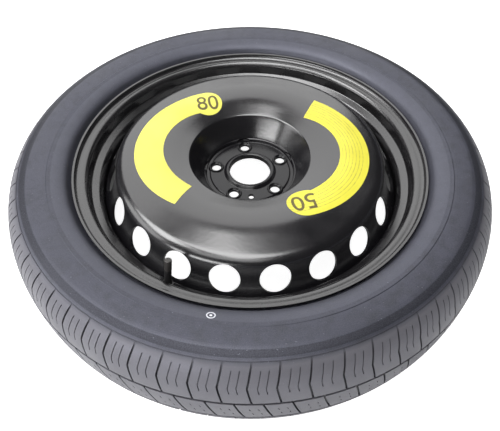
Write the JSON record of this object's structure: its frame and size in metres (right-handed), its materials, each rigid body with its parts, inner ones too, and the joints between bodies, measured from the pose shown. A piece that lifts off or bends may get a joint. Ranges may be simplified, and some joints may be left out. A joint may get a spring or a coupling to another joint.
{
  "type": "space saver spare wheel",
  "caption": "Compact temporary wheel: a narrow tyre on a black welded steel wheel with a raised vented disc, a sunken hub and a snap-in valve.",
  "frame": {"origin": "on the floor, on the wheel's axis, with the wheel lying on its inboard sidewall", "axes": "+Z along the wheel's axis, out of its dished outboard side; the valve lies to the front left, towards -Y and -X"},
  "size_m": [0.753, 0.753, 0.171],
  "materials": {
    "tyre_rubber": "matte moulded rubber",
    "rim_paint": "gloss black electrocoat on rolled steel",
    "disc_paint": "gloss black electrocoat on pressed steel",
    "weld_paint": "painted weld bead",
    "valve_rubber": "smooth black rubber",
    "stem_brass": "turned brass",
    "core_brass": "turned brass",
    "gasket_plastic": "white sealing plastic",
    "pin_brass": "turned brass",
    "seal_rubber": "black rubber",
    "spring_steel": "spring wire",
    "cap_plastic": "moulded black plastic",
    "liner_rubber": "black rubber",
    "left_film": "pale yellow printed film",
    "right_film": "yellow printed film"
  },
  "bodies": {
    "wheel": {"tyre": "tyre_rubber", "rim": "rim_paint", "wheel_disc": "disc_paint", "disc_welds": "weld_paint", "valve_body": "valve_rubber", "valve_stem": "stem_brass", "core_barrel": "core_brass", "core_gasket": "gasket_plastic", "core_spring": "spring_steel", "left_label": "left_film", "right_label": "right_film"},
    "cap": {"valve_cap": "cap_plastic", "cap_liner": "liner_rubber"},
    "pin": {"core_pin": "pin_brass", "core_seal": "seal_rubber"}
  },
  "joints": [
    {"name": "cap_unscrew", "type": "slide", "parent": "wheel", "child": "cap", "axis": [0.1076, 0.2167, 0.9703], "range_m": [0, 0.011]},
    {"name": "pin_press", "type": "slide", "parent": "wheel", "child": "pin", "axis": [-0.1076, -0.2167, -0.9703], "range_m": [0, 0.001], "stiffness_N_per_m": 800, "springref_m": -0.002, "deforming": ["core_spring"]}
  ]
}
